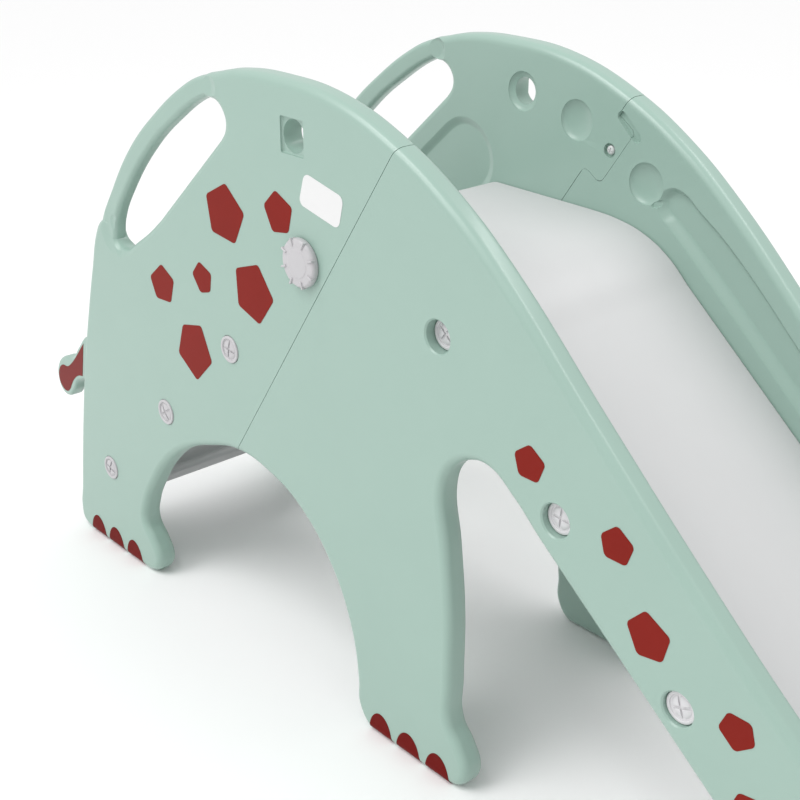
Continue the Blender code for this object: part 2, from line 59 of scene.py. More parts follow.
FINENESS = 8  # steps in each curved stretch of an outline
WELD = 1e-6
BEYOND = 0.02  # how far a cutting tool reaches out of the wall
SKIN = 0.0002  # keeps a tool's rim clear of the face it presses into

EDGE = 0.010  # rounding round a panel
MOULDED_EDGE = 0.0016  # where grip and tail meet the panel
HALF_EDGE = 0.0013  # on the two halves, once they are parted
GRIP_INSET = 0.003
GRIP_THICKNESS = 0.020
GRIP_EDGE = 0.0070
TAIL_THICKNESS = 0.021
TAIL_INSET = 0.005
TAIL_EDGE = 0.0045
LABEL = 0.00035  # thickness of a label
LABEL_CORNER = 0.0042

SMOOTH, CORNER, RUN_START, RUN_END = "smooth", "corner", "run start", "run end"


def at(x, z, y=0.0):
    """A point of the side view, which is drawn from its own rear end, in the frame's own place."""
    return Vector((x - DRAWN_REAR + REAR, y, z))


# ---------------------------------------------------------------- outlines in the side view
SIDE_OUTLINE = (
    (-0.005, 0.000, RUN_START),  # rear foot
    (0.158, 0.000, RUN_END),
    (0.179, 0.010, SMOOTH),
    (0.186, 0.031, SMOOTH),
    (0.172, 0.056, SMOOTH),
    (0.155, 0.077, SMOOTH),
    (0.161, 0.107, SMOOTH),  # belly arch
    (0.183, 0.146, SMOOTH),
    (0.217, 0.190, SMOOTH),
    (0.265, 0.230, SMOOTH),
    (0.330, 0.260, SMOOTH),
    (0.396, 0.277, SMOOTH),
    (0.460, 0.270, SMOOTH),
    (0.517, 0.247, SMOOTH),
    (0.573, 0.194, SMOOTH),
    (0.608, 0.125, SMOOTH),
    (0.620, 0.060, SMOOTH),
    (0.622, 0.025, SMOOTH),
    (0.644, 0.000, RUN_START),  # front foot
    (0.780, 0.000, RUN_END),
    (0.801, 0.010, SMOOTH),
    (0.808, 0.031, SMOOTH),
    (0.797, 0.056, SMOOTH),
    (0.779, 0.080, SMOOTH),
    (0.778, 0.130, SMOOTH),
    (0.778, 0.215, SMOOTH),
    (0.770, 0.300, SMOOTH),
    (0.762, 0.366, SMOOTH),
    (0.774, 0.396, SMOOTH),  # between the leg and the neck
    (0.800, 0.415, SMOOTH),
    (0.828, 0.418, SMOOTH),
    (0.862, 0.398, SMOOTH),
    (0.900, 0.366, RUN_START),  # neck, underside
    (1.290, 0.062, RUN_END),
    (1.340, 0.024, SMOOTH),
    (1.395, 0.000, RUN_START),  # lower end
    (1.515, 0.000, RUN_END),
    (1.548, 0.017, SMOOTH),
    (1.562, 0.055, SMOOTH),
    (1.550, 0.100, SMOOTH),
    (1.510, 0.132, SMOOTH),
    (1.440, 0.152, SMOOTH),
    (1.360, 0.187, SMOOTH),
    (1.285, 0.233, SMOOTH),
    (1.187, 0.307, SMOOTH),  # rail
    (1.092, 0.388, SMOOTH),
    (0.956, 0.511, SMOOTH),
    (0.840, 0.618, SMOOTH),
    (0.764, 0.675, SMOOTH),
    (0.685, 0.717, SMOOTH),
    (0.590, 0.747, SMOOTH),
    (0.495, 0.754, SMOOTH),
    (0.425, 0.750, SMOOTH),
    (0.385, 0.7415, SMOOTH),
    (0.362, 0.7345, SMOOTH),  # shoulder at the upper end of the hand grip
    (0.3535, 0.7250, SMOOTH),
    (0.3570, 0.7145, SMOOTH),
    (0.3690, 0.7105, SMOOTH),
    (0.3840, 0.7085, SMOOTH),
    (0.3965, 0.6995, SMOOTH),
    (0.401, 0.686, SMOOTH),
    (0.390, 0.667, RUN_START),  # lower side of the hand hole
    (0.250, 0.542, RUN_END),
    (0.190, 0.499, SMOOTH),
    (0.1535, 0.4800, SMOOTH),
    (0.1375, 0.4850, SMOOTH),
    (0.1285, 0.5000, SMOOTH),
    (0.116, 0.512, SMOOTH),  # shoulder at the lower end of the hand grip
    (0.100, 0.507, SMOOTH),
    (0.087, 0.490, SMOOTH),
    (0.067, 0.435, SMOOTH),  # rear edge
    (0.047, 0.374, SMOOTH),
    (0.016, 0.267, SMOOTH),
    (-0.011, 0.147, SMOOTH),
    (-0.026, 0.067, SMOOTH),
    (-0.033, 0.030, SMOOTH),
    (-0.027, 0.008, SMOOTH),
)
GRIP_BAR = (
    (0.130, 0.455, CORNER),
    (0.090, 0.455, CORNER),
    (0.0985, 0.500, SMOOTH),
    (0.134, 0.556, SMOOTH),
    (0.187, 0.621, SMOOTH),
    (0.250, 0.674, SMOOTH),
    (0.308, 0.7125, SMOOTH),
    (0.346, 0.7305, SMOOTH),
    (0.392, 0.741, CORNER),
    (0.400, 0.720, CORNER),
    (0.356, 0.7075, SMOOTH),
    (0.294, 0.672, SMOOTH),
    (0.233, 0.626, SMOOTH),
    (0.170, 0.559, SMOOTH),
    (0.1400, 0.5130, SMOOTH),
    (0.1355, 0.4930, SMOOTH),
)
TAIL_OUTLINE = (
    (0.060, 0.325, CORNER),
    (0.026, 0.320, SMOOTH),
    (0.000, 0.296, SMOOTH),
    (-0.022, 0.273, SMOOTH),
    (-0.050, 0.266, SMOOTH),
    (-0.067, 0.249, SMOOTH),
    (-0.071, 0.229, SMOOTH),
    (-0.062, 0.210, SMOOTH),
    (-0.043, 0.206, SMOOTH),
    (-0.026, 0.219, SMOOTH),
    (-0.010, 0.240, SMOOTH),
    (0.012, 0.248, SMOOTH),
    (0.060, 0.252, CORNER),
)
TAIL_LABEL = (
    (0.018, 0.307, CORNER),
    (-0.027, 0.261, SMOOTH),
    (-0.037, 0.255, SMOOTH),
    (-0.052, 0.253, SMOOTH),
    (-0.064, 0.240, SMOOTH),
    (-0.065, 0.226, SMOOTH),
    (-0.058, 0.216, SMOOTH),
    (-0.046, 0.213, SMOOTH),
    (-0.036, 0.219, SMOOTH),
    (-0.029, 0.229, SMOOTH),
    (-0.022, 0.238, SMOOTH),
    (-0.006, 0.250, SMOOTH),
    (0.006, 0.253, CORNER),
)
BED_TOP = (
    (0.492, 0.5765, RUN_START),
    (0.640, 0.5755, RUN_END),
    (0.687, 0.573, SMOOTH),
    (0.728, 0.564, SMOOTH),
    (0.764, 0.546, SMOOTH),
    (0.799, 0.516, RUN_START),
    (1.185, 0.196, RUN_END),
    (1.252, 0.146, SMOOTH),
    (1.320, 0.110, SMOOTH),
    (1.385, 0.094, SMOOTH),
    (1.440, 0.090, RUN_START),
    (1.505, 0.088, RUN_END),
)
BED_THICKNESS = 0.034
BED_EDGE = 0.003  # also round the treads
# Stiffening channel along the inside of the neck: its mouth and, point for point, its floor
CHANNEL_MOUTH = (
    (0.741, 0.600), (0.745, 0.588), (0.757, 0.578), (0.802, 0.542), (0.945, 0.419), (1.205, 0.196),
    (1.236, 0.181), (1.252, 0.198), (1.232, 0.224), (0.960, 0.472), (0.845, 0.576), (0.802, 0.606),
    (0.774, 0.624), (0.757, 0.624), (0.745, 0.614),
)
CHANNEL_FLOOR = (
    (0.754, 0.602), (0.758, 0.595), (0.768, 0.589), (0.813, 0.554), (0.956, 0.431), (1.214, 0.208),
    (1.231, 0.196), (1.241, 0.203), (1.225, 0.218), (0.955, 0.466), (0.840, 0.570), (0.797, 0.600),
    (0.772, 0.616), (0.762, 0.615), (0.755, 0.609),
)
CHANNEL_DEPTH = 0.0078
# Small slots, left open above the tongue and beside the channel: ends, radius and depth
TONGUE_SLOT = ((0.6830, 0.6905), (0.7060, 0.6700)), 0.0065, 0.0045
LOZENGE = ((0.7370, 0.5990), (0.7470, 0.6035)), 0.0045, 0.0035
SLOT_WALL = 0.0016

SEAM_TOP = at(0.687, 0.705)
SEAM_BOTTOM = at(0.396, 0.281)
LAP_LENGTH = 0.030
LAP_FROM_TOP = 0.018
LAP_HEIGHT = 0.080
LAP_CORNER = 0.009
SEAM_GAP = 0.0007
INNER_SEAM = 0.6  # share of the seam's gap that shows round the tongue
LAP_SCREW = at(0.668, 0.649)
LAP_SCREW_DISH = 0.0085
LAP_SCREW_SEAT = 0.004
LAP_SCREW_BORE = 0.0028
LAP_SCREW_DEPTH = 0.0252

SOCKET_CENTRE = at(0.528, 0.695)
SOCKET_SIZE = 0.040
SOCKET_DEPTH = 0.0035
SOCKET_MOUTH = 0.0188
SOCKET_HOLE = 0.0165
SOCKET_DISH = 0.024
SOCKET_DISH_DEPTH = 0.006
SOCKET_CORNER = 0.0022
KNOB_CENTRE = at(0.541, 0.560)
DISHES = (at(0.616, 0.675), at(0.724, 0.621))
DISH_RADIUS = 0.0245
DISH_DEPTH = 0.0075
POCKET_TOP = (0.430, 0.596)
POCKET_BOTTOM = (0.205, 0.394)
POCKET_RADIUS = 0.053
POCKET_DEPTH = 0.0048
POCKET_WALL = 0.013
# Where the hand grip sinks into the panel: the hollow's two ends, its radius and its floor's radius
GRIP_FOOT = ((0.125, 0.560), (0.137, 0.502)), 0.034, 0.012
GRIP_HEAD = ((0.330, 0.705), (0.368, 0.724)), 0.024, 0.009
THUMB_REST = ((0.138, 0.512), (0.150, 0.489)), 0.021, 0.006
GRIP_ROOT_DEPTH = 0.0034
THUMB_DEPTH = 0.0048

STEPS = {
    "lower_step": at(0.075, 0.134),
    "middle_step": at(0.236, 0.277),
    "upper_step": at(0.392, 0.413),
}
STEP_DEPTH = 0.130
STEP_THICKNESS = 0.034
BED_BOLTS = (
    (at(0.755, 0.536), 0.012),
    (at(0.921, 0.398), 0.008),
    (at(1.079, 0.269), 0.005),
    (at(1.237, 0.140), 0.005),
)
BOLT_RADIUS = 0.0170
BOLT_HEAD = 0.005
BOLT_SHANK = 0.006
BOLT_GRIP = 0.024  # how far a bolt reaches into the bed or a tread
BOLT_SOCKET = 0.025
BOLT_PLAY = 0.0006  # round a bolt's head
BORE_FLARE = 0.0026
BORE_FLARE_DEPTH = 0.0016
STEP_BOLT_FACE = -0.002
BOLT_TURNS = (20, -35, 10, 40, 5, -20, 30)  # degrees, treads from the lowest, then the bed from its top
KNOB_RADIUS = 0.029
KNOB_THICKNESS = 0.010
KNOB_SHAFT = 0.007
KNOB_RIBS = 8

# Corners of the labels on the right side, (x, z) in millimetres of the side view
SPOTS = {
    "spot_1": ((400, 615), (435, 586), (414, 546), (368, 551), (360, 594)),
    "spot_2": ((495, 627), (525, 613), (517, 583), (488, 578), (473, 606)),
    "spot_3": ((250, 481), (277, 466), (267, 434), (234, 432), (222, 458)),
    "spot_4": ((336, 506), (361, 496), (357, 472), (336, 466), (320, 487)),
    "spot_5": ((413, 517), (457, 532), (485, 496), (456, 459), (415, 472)),
    "spot_6": ((291, 412), (332, 422), (352, 379), (316, 344), (277, 370)),
    "spot_7": ((885, 462), (906, 448), (897, 425), (872, 425), (865, 447)),
    "spot_8": ((996, 421), (1017, 407), (1009, 384), (983, 384), (977, 405)),
    "spot_9": ((1035, 350), (1065, 334), (1058, 305), (1029, 300), (1014, 328)),
    "spot_10": ((1132, 293), (1157, 293), (1163, 272), (1143, 256), (1123, 272)),
    "spot_11": ((1152, 217), (1177, 221), (1184, 197), (1165, 179), (1143, 192)),
}
LABEL_LIFT = 0.004  # added to the heights above
PLAIN_LABEL = ((548, 661), (613, 647), (604, 611), (537, 625))
PLAIN_LABEL_CORNER = 0.0085
PROUD = 0.00005  # keeps a label off the face under it
REAR_NAILS = ((0.000, 0.041), (0.049, 0.091), (0.099, 0.141))
FRONT_NAILS = ((0.645, 0.685), (0.693, 0.734), (0.743, 0.783))
REAR_NAIL_HEIGHT = 0.033
FRONT_NAIL_HEIGHT = 0.032
NAIL_BASE = 0.02  # share of a nail's height that the floor line cuts off
NAIL_ROWS = (0.0012, 0.0025, 0.004, 0.006, 0.008, 0.010)


# ---------------------------------------------------------------- mesh helpers
def deselect():
    for thing in bpy.context.selected_objects:
        thing.select_set(False)


def only(piece):
    deselect()
    piece.select_set(True)
    bpy.context.view_layer.objects.active = piece
    return piece


def named(name):
    piece = bpy.context.object
    piece.name = name
    piece.data.name = name
    return piece


def settle(piece):
    """Puts a piece's place and turn into its mesh."""
    only(piece)
    bpy.ops.object.transform_apply(location=True, rotation=True, scale=True)
    return piece


def edit(piece, *steps):
    """Runs operators in edit mode with the whole mesh selected before each."""
    only(piece)
    bpy.ops.object.mode_set(mode="EDIT")
    for step, settings in steps:
        bpy.ops.mesh.select_all(action="SELECT")
        step(**settings)
    bpy.ops.object.mode_set(mode="OBJECT")
    return piece


def clean(piece):
    mesh = bpy.ops.mesh
    return edit(
        piece,
        (mesh.remove_doubles, {"threshold": WELD}),
        (mesh.dissolve_degenerate, {"threshold": WELD}),
        (mesh.normals_make_consistent, {"inside": False}),
    )


def modify(piece, kind, **settings):
    only(piece)
    step = piece.modifiers.new(kind.lower(), kind)
    for key, value in settings.items():
        setattr(step, key, value)
    bpy.ops.object.modifier_apply(modifier=step.name)
    return piece


def combine(piece, tool, operation):
    modify(piece, "BOOLEAN", operation=operation, solver="EXACT", object=tool)
    bpy.data.objects.remove(tool)
    return piece


def cut(piece, tool):
    return combine(piece, tool, "DIFFERENCE")


def join(piece, tool):
    return combine(piece, tool, "UNION")


def soften(piece, width, angle=35, segments=3):
    """Rounds the edges that are sharper than the angle."""
    return modify(
        piece, "BEVEL", width=width, segments=segments, limit_method="ANGLE",
        angle_limit=radians(angle), miter_outer="MITER_ARC", use_clamp_overlap=True,
    )


def shade(piece, angle=32):
    only(piece)
    bpy.ops.object.shade_smooth_by_angle(angle=radians(angle))
    return modify(piece, "WEIGHTED_NORMAL", mode="FACE_AREA", weight=60, keep_sharp=True)


def duplicate(piece, name):
    made = bpy.data.objects.new(name, piece.data.copy())
    made.data.name = name
    bpy.context.scene.collection.objects.link(made)
    return made


def mirror(piece, name):
    """The same piece on the left side."""
    made = duplicate(piece, name)
    made.scale = (1.0, -1.0, 1.0)
    settle(made)
    return clean_normals(made)


def clean_normals(piece):
    return edit(piece, (bpy.ops.mesh.normals_make_consistent, {"inside": False}))


def side_drawing(name, y, fineness, fill="BOTH"):
    """An empty drawing in the side view, on the plane at y."""
    deselect()
    bpy.ops.curve.primitive_bezier_circle_add(location=(0, y, 0), rotation=(pi / 2, 0, 0))
    drawn = named(name)
    drawn.data.splines.clear()
    drawn.data.dimensions = "2D"
    drawn.data.fill_mode = fill
    drawn.data.resolution_u = fineness
    return drawn


def thickened(drawn, thickness, edge, rounds):
    """Gives a drawing a thickness and a rounded edge that stays inside its outline."""
    drawn.data.extrude = thickness / 2 - edge
    drawn.data.bevel_depth = edge
    drawn.data.bevel_resolution = rounds
    drawn.data.offset = -edge
    return drawn


def drawn_mesh(drawn, name, points):
    """Turns a drawing into a mesh, along a closed line of (place, kind)."""
    spline = drawn.data.splines.new("BEZIER")
    spline.bezier_points.add(len(points) - 1)
    spline.use_cyclic_u = True
    for point, (place, kind) in zip(spline.bezier_points, points):
        point.co = (place.x, place.z, 0.0)
        point.handle_left_type = "VECTOR" if kind in (CORNER, RUN_END) else "AUTO"
        point.handle_right_type = "VECTOR" if kind in (CORNER, RUN_START) else "AUTO"
    only(drawn)
    bpy.ops.object.convert(target="MESH")
    return settle(named(name))


def placed(outline):
    return [(at(x, z), kind) for x, z, kind in outline]


def plate(name, outline, middle, thickness, edge, rounds=4):
    """A flat moulding in the side view, centred on the plane y = middle, with a rounded edge."""
    drawn = thickened(side_drawing(name, middle, FINENESS), thickness, edge, rounds)
    return clean(drawn_mesh(drawn, name, placed(outline)))


def flat(name, outline, middle, fineness):
    """A thin face in the side view, on the plane y = middle."""
    return drawn_mesh(side_drawing(name, middle, fineness), name, placed(outline))


def polygon_prism(name, corners, start, end):
    """A straight-sided solid from corners in the side view, from the plane y = start to y = end."""
    deselect()
    bpy.ops.mesh.primitive_circle_add(vertices=len(corners), radius=1, fill_type="NGON")
    piece = named(name)
    for vertex, corner in zip(piece.data.vertices, corners):
        vertex.co = (corner.x, start, corner.z)
    move = {"TRANSFORM_OT_translate": {"value": (0, end - start, 0)}}
    return clean_normals(edit(piece, (bpy.ops.mesh.extrude_region_move, move)))


def cylinder(name, centre, radius, start, end, sides=64, tip=None):
    """A round solid along Y, from y = start to y = end. Its radius at the end is tip."""
    deselect()
    bpy.ops.mesh.primitive_cone_add(
        vertices=sides, radius1=radius, radius2=radius if tip is None else tip,
        depth=abs(end - start), location=(centre.x, (start + end) / 2, centre.z),
        rotation=(-pi / 2 if end > start else pi / 2, 0, 0),
    )
    return settle(named(name))


def ball(name, centre, y, radius, depth):
    """A flattened ball that presses a round dish into the face at y."""
    deselect()
    bpy.ops.mesh.primitive_uv_sphere_add(
        segments=64, ring_count=32, radius=radius, location=(centre.x, y, centre.z),
        rotation=(pi / 2, 0, 0), scale=(1.0, 1.0, depth / radius),
    )
    return settle(named(name))


def turned(name, profile, centre, sides=64):
    """A solid turned about an axis along Y; the profile is (radius, y), from axis to axis."""
    deselect()
    bpy.ops.mesh.primitive_circle_add(vertices=len(profile), radius=1, fill_type="NOTHING")
    piece = named(name)
    for vertex, (radius, y) in zip(piece.data.vertices, profile):
        vertex.co = (radius, y, 0.0)
    only(piece)
    bpy.ops.object.mode_set(mode="EDIT")
    bpy.ops.mesh.select_all(action="SELECT")
    bpy.ops.mesh.spin(steps=sides, angle=2 * pi, center=(0, 0, 0), axis=(0, 1, 0))
    bpy.ops.object.mode_set(mode="OBJECT")
    clean(piece)
    piece.location = centre
    return settle(piece)


# ---------------------------------------------------------------- side panels
def lap_region(name, grow):
    """Everything behind the seam, and the tongue that reaches forward inside the wall."""
    along = (SEAM_BOTTOM - SEAM_TOP).normalized()
    forward = Vector((-along.z, 0.0, along.x))
    far = 2.0
    rear = [
        SEAM_TOP - along * far + forward * grow,
        SEAM_TOP + along * far + forward * grow,
        SEAM_TOP + along * far - forward * far,
        SEAM_TOP - along * far - forward * far,
    ]
    behind = polygon_prism(name, rear, -OUTER - BEYOND, -INNER + BEYOND)
    close = grow * INNER_SEAM
    top, bottom = LAP_FROM_TOP - close, LAP_FROM_TOP + LAP_HEIGHT + close
    reach, corner = LAP_LENGTH + close, LAP_CORNER
    turns = [radians(angle) for angle in range(0, 91, 15)]
    lower = [(reach - corner + corner * cos(a), bottom - corner + corner * sin(a)) for a in turns]
    upper = [(reach - corner + corner * sin(a), top + corner - corner * cos(a)) for a in turns]
    # The tongue's root flares into the seam with a rounded fillet at its lower end
    fillet = [(corner * (1 - cos(a)), bottom + corner * (1 - sin(a))) for a in reversed(turns)]
    tongue = [(-BEYOND, top), *upper, *lower, *fillet, (-BEYOND, bottom + corner)]
    outline = [SEAM_TOP + forward * out + along * down for out, down in tongue]
    overlap = polygon_prism("tongue", outline, -MID - grow, -INNER + BEYOND)
    return join(behind, overlap)


def ring(name, outline, y, fineness):
    """A bare loop of edges in the side view, on the plane at y."""
    return drawn_mesh(side_drawing(name, y, fineness, "NONE"), name, placed(outline))


def strip(name, outlines, levels, fineness):
    """The band of wall between two loops."""
    loops = [ring(name, outline, level, fineness) for outline, level in zip(outlines, levels)]
    deselect()
    for loop in loops:
        loop.select_set(True)
    bpy.context.view_layer.objects.active = loops[0]
    bpy.ops.object.join()
    band = named(name)
    edit(
        band,
        (bpy.ops.mesh.remove_doubles, {"threshold": WELD}),
        (bpy.ops.mesh.bridge_edge_loops, {}),
    )
    return band


def cap(tool, level):
    """Closes the open end of a tool that lies at the level."""
    only(tool)
    bpy.ops.object.mode_set(mode="EDIT")
    bpy.ops.mesh.select_mode(type="EDGE")
    bpy.ops.mesh.select_all(action="DESELECT")
    bpy.ops.mesh.select_non_manifold()
    bpy.ops.object.mode_set(mode="OBJECT")
    for edge in tool.data.edges:
        ends = [tool.data.vertices[index].co.y for index in edge.vertices]
        edge.select = edge.select and all(abs(y - level) < 1e-4 for y in ends)
    bpy.ops.object.mode_set(mode="EDIT")
    bpy.ops.mesh.edge_face_add()
    bpy.ops.mesh.select_mode(type="VERT")
    bpy.ops.object.mode_set(mode="OBJECT")


def hollow(name, mouth, floor, depth, fineness=FINENESS, face=-INNER, out=1):
    """A tool that presses a hollow into a face. Its wall runs from mouth to floor in a soft S."""
    def between(t):
        pairs = zip(mouth, floor)
        return [(a[0] + (b[0] - a[0]) * t, a[1] + (b[1] - a[1]) * t, a[2]) for a, b in pairs]

    steps = (0.0, 0.12, 0.26, 0.40, 0.54, 0.68, 0.84, 1.0)
    outlines = [between(-0.06)] + [between(t) for t in steps]
    sink = [0.35 * t + 0.65 * (1 - cos(pi * t)) / 2 for t in steps]
    levels = [face + out * 0.0007] + [face - out * (depth * part - SKIN) for part in sink]
    spans = range(len(levels) - 1)
    bands = [strip(name, outlines[k : k + 2], levels[k : k + 2], fineness) for k in spans]
    deselect()
    for band in bands:
        band.select_set(True)
    bpy.context.view_layer.objects.active = bands[0]
    bpy.ops.object.join()
    tool = edit(named(name), (bpy.ops.mesh.remove_doubles, {"threshold": WELD}))
    cap(tool, levels[0])
    cap(tool, levels[-1])
    return clean(tool)


def round_ended(start, end, radius, step):
    """A round-ended outline between two points of the side view."""
    run = (end[0] - start[0], end[1] - start[1])
    length = sqrt(run[0] ** 2 + run[1] ** 2)
    ux, uz = run[0] / length, run[1] / length
    points = []
    for (cx, cz), way in ((start, -1), (end, 1)):
        for angle in range(-90, 91, step):
            a = radians(angle)
            out, along = radius * sin(a) * way, radius * cos(a) * way
            kind = {-90: RUN_END, 90: RUN_START}.get(angle, SMOOTH)
            points.append((cx + along * ux + out * uz, cz + along * uz - out * ux, kind))
    return points


def along_stairs(radius):
    return round_ended(POCKET_TOP, POCKET_BOTTOM, radius, 30)


def capsule(ends, radius):
    return round_ended(*ends, radius, 45)


def bolt_bore(centre, face_depth):
    """Room for a bolt; where its head is sunk, the mouth of the bore flares."""
    seat = -OUTER + face_depth + BOLT_HEAD
    radius = BOLT_RADIUS + BOLT_PLAY
    bore = cylinder("bore", centre, radius, -OUTER - BEYOND, seat)
    if face_depth > 0:
        flare = -OUTER - 0.001, -OUTER + BORE_FLARE_DEPTH
        join(bore, cylinder("bore_mouth", centre, radius + BORE_FLARE, *flare, 64, radius))
    shank = cylinder("shank_bore", centre, BOLT_SHANK + GAP, seat - 0.001, -INNER + BEYOND, 32)
    return join(bore, shank)


def make_blank_side():
    """The moulding before anything is pressed or drilled into it."""
    side = plate("side", SIDE_OUTLINE, -MID, PANEL, EDGE)
    grip_middle = -OUTER + GRIP_INSET + GRIP_THICKNESS / 2
    join(side, plate("grip", GRIP_BAR, grip_middle, GRIP_THICKNESS, GRIP_EDGE))
    tail_middle = -OUTER + TAIL_INSET + TAIL_THICKNESS / 2
    join(side, plate("tail", TAIL_OUTLINE, tail_middle, TAIL_THICKNESS, TAIL_EDGE, 3))
    return soften(side, MOULDED_EDGE, 30, 2)


def press_hollows(side):
    smooth = [[(x, z, SMOOTH) for x, z in outline] for outline in (CHANNEL_MOUTH, CHANNEL_FLOOR)]
    cut(side, hollow("channel", *smooth, CHANNEL_DEPTH))
    pocket = along_stairs(POCKET_RADIUS), along_stairs(POCKET_RADIUS - POCKET_WALL)
    cut(side, hollow("pocket", *pocket, POCKET_DEPTH))
    for ends, radius, depth in (TONGUE_SLOT, LOZENGE):
        slot = capsule(ends, radius), capsule(ends, radius - SLOT_WALL)
        cut(side, hollow("slot", *slot, depth, 6))
    for centre in DISHES:
        cut(side, ball("dish", centre, -INNER + SKIN, DISH_RADIUS, DISH_DEPTH))
    behind_grip = PANEL - GRIP_INSET - GRIP_THICKNESS
    for (ends, wide, narrow), depth, face, out in (
        (GRIP_FOOT, GRIP_ROOT_DEPTH, -OUTER, -1),
        (GRIP_FOOT, behind_grip, -INNER, 1),
        (GRIP_HEAD, GRIP_ROOT_DEPTH, -OUTER, -1),
        (GRIP_HEAD, behind_grip, -INNER, 1),
        (THUMB_REST, THUMB_DEPTH, -OUTER, -1),
    ):
        root = capsule(ends, wide), capsule(ends, narrow)
        cut(side, hollow("grip_root", *root, depth, FINENESS, face, out))


def cut_socket(side):
    """The accessory socket: a dish inside, a square outside and a tapering hole between them."""
    dish_face = -INNER + SKIN
    cut(side, ball("socket_dish", SOCKET_CENTRE, dish_face, SOCKET_DISH, SOCKET_DISH_DEPTH + 0.001))
    half = SOCKET_SIZE / 2
    ways = ((-1, -1), (1, -1), (1, 1), (-1, 1))
    corners = [SOCKET_CENTRE + Vector((x * half, 0, z * half)) for x, z in ways]
    square = polygon_prism("square", corners, -OUTER - BEYOND, -OUTER + SOCKET_DEPTH)
    cut(side, soften(square, SOCKET_CORNER, 60, 4))
    throat = -INNER - SOCKET_DISH_DEPTH
    cut(side, cylinder("mouth", SOCKET_CENTRE, SOCKET_MOUTH, -OUTER, throat, 72, SOCKET_HOLE))
    cut(side, cylinder("hole", SOCKET_CENTRE, SOCKET_HOLE, throat - 0.0004, -INNER + BEYOND, 72))


def drill_bores(side):
    for centre in STEPS.values():
        cut(side, bolt_bore(centre, STEP_BOLT_FACE))
    for centre, depth in BED_BOLTS:
        cut(side, bolt_bore(centre, depth))
    out = -INNER + BEYOND
    cut(side, cylinder("knob_bore", KNOB_CENTRE, KNOB_SHAFT + GAP, -OUTER - BEYOND, out, 32))
    cut(side, cylinder("screw_dish", LAP_SCREW, LAP_SCREW_DISH, -INNER - LAP_SCREW_SEAT, out, 48))
    cut(side, cylinder("screw_bore", LAP_SCREW, LAP_SCREW_BORE, -INNER - LAP_SCREW_DEPTH, -INNER, 24))


def make_right_side():
    """The whole right side, then its rear and front halves."""
    side = make_blank_side()
    press_hollows(side)
    cut_socket(side)
    drill_bores(side)
    rear = combine(duplicate(side, "right_rear_shell"), lap_region("lap", 0.0), "INTERSECT")
    front = cut(side, lap_region("lap", SEAM_GAP))
    front.name = front.data.name = "right_front_shell"
    for half_panel in (rear, front):
        soften(half_panel, HALF_EDGE, 30, 2)
        shade(half_panel, 40)
    return rear, front


# ---------------------------------------------------------------- slide bed and treads
def spanning(name, points, fineness):
    """A moulding between the panels, from its outline in the side view: (place, kind)."""
    drawn = thickened(side_drawing(name, 0, fineness), 2 * (INNER - GAP), BED_EDGE, 2)
    return clean(drawn_mesh(drawn, name, points))


def socket_bores(piece, centre, radius):
    """A blind hole for a bolt or a knob in each end of a piece that spans the panels."""
    for side in (-1, 1):
        mouth, end = side * (INNER + 0.01), side * (INNER - BOLT_SOCKET)
        cut(piece, cylinder("socket", centre, radius, mouth, end, 32))


def bed_outline():
    places = [at(x, z) for x, z, _ in BED_TOP]
    kinds = [kind for _, _, kind in BED_TOP]
    below = []
    for index, kind in enumerate(kinds):
        before = places[index if kind == RUN_START else max(index - 1, 0)]
        after = places[index if kind == RUN_END else min(index + 1, len(places) - 1)]
        run = (after - before).normalized()
        below.append(places[index] + Vector((run.z, 0.0, -run.x)) * BED_THICKNESS)
    swap = {RUN_START: RUN_END, RUN_END: RUN_START, SMOOTH: SMOOTH}
    ends = []
    for top, bottom, way in ((places[-1], below[-1], 1), (below[0], places[0], -1)):
        middle = (top + bottom) / 2
        out = Vector((way * BED_THICKNESS / 2, 0, 0))
        ends.append([
            (middle + (top - middle) * 0.72 + out * 0.72, SMOOTH),
            (middle + out, SMOOTH),
            (middle + (bottom - middle) * 0.72 + out * 0.72, SMOOTH),
        ])
    under = [(place, swap[kind]) for place, kind in zip(reversed(below), reversed(kinds))]
    return [*zip(places, kinds), *ends[0], *under, *ends[1]]


def make_bed():
    bed = spanning("slide_surface", bed_outline(), 10)
    for centre, _ in BED_BOLTS:
        socket_bores(bed, centre, BOLT_SHANK + GAP)
    socket_bores(bed, KNOB_CENTRE, KNOB_SHAFT + GAP)
    return shade(bed, 40)


def make_step(name, centre):
    """A tread with a thinner lip along its back edge."""
    front, back = -STEP_DEPTH / 2, STEP_DEPTH / 2
    top, bottom = STEP_THICKNESS / 2, -STEP_THICKNESS / 2
    nose = STEP_THICKNESS * 0.3
    lip_top = bottom + 0.014
    lip_start = back - 0.020
    outline = (
        (front + nose, bottom, RUN_START),
        (back - 0.004, bottom, RUN_END),
        (back, bottom + 0.004, RUN_START),
        (back, lip_top - 0.004, RUN_END),
        (back - 0.004, lip_top, SMOOTH),
        (lip_start + 0.003, lip_top - 0.0006, SMOOTH),
        (lip_start, lip_top - 0.0022, SMOOTH),
        (lip_start - 0.003, lip_top - 0.0006, SMOOTH),
        (lip_start - 0.007, (lip_top + top) / 2, SMOOTH),
        (lip_start - 0.014, top, RUN_START),
        (front + nose, top, RUN_END),
        (front + nose * 0.3, top - nose * 0.3, SMOOTH),
        (front, top - nose, RUN_START),
        (front, bottom + nose, RUN_END),
        (front + nose * 0.3, bottom + nose * 0.3, SMOOTH),
    )
    points = [(centre + Vector((x, 0, z)), kind) for x, z, kind in outline]
    step = spanning(name + "_tread", points, FINENESS)
    socket_bores(step, centre, BOLT_SHANK + GAP)
    return shade(step, 40)


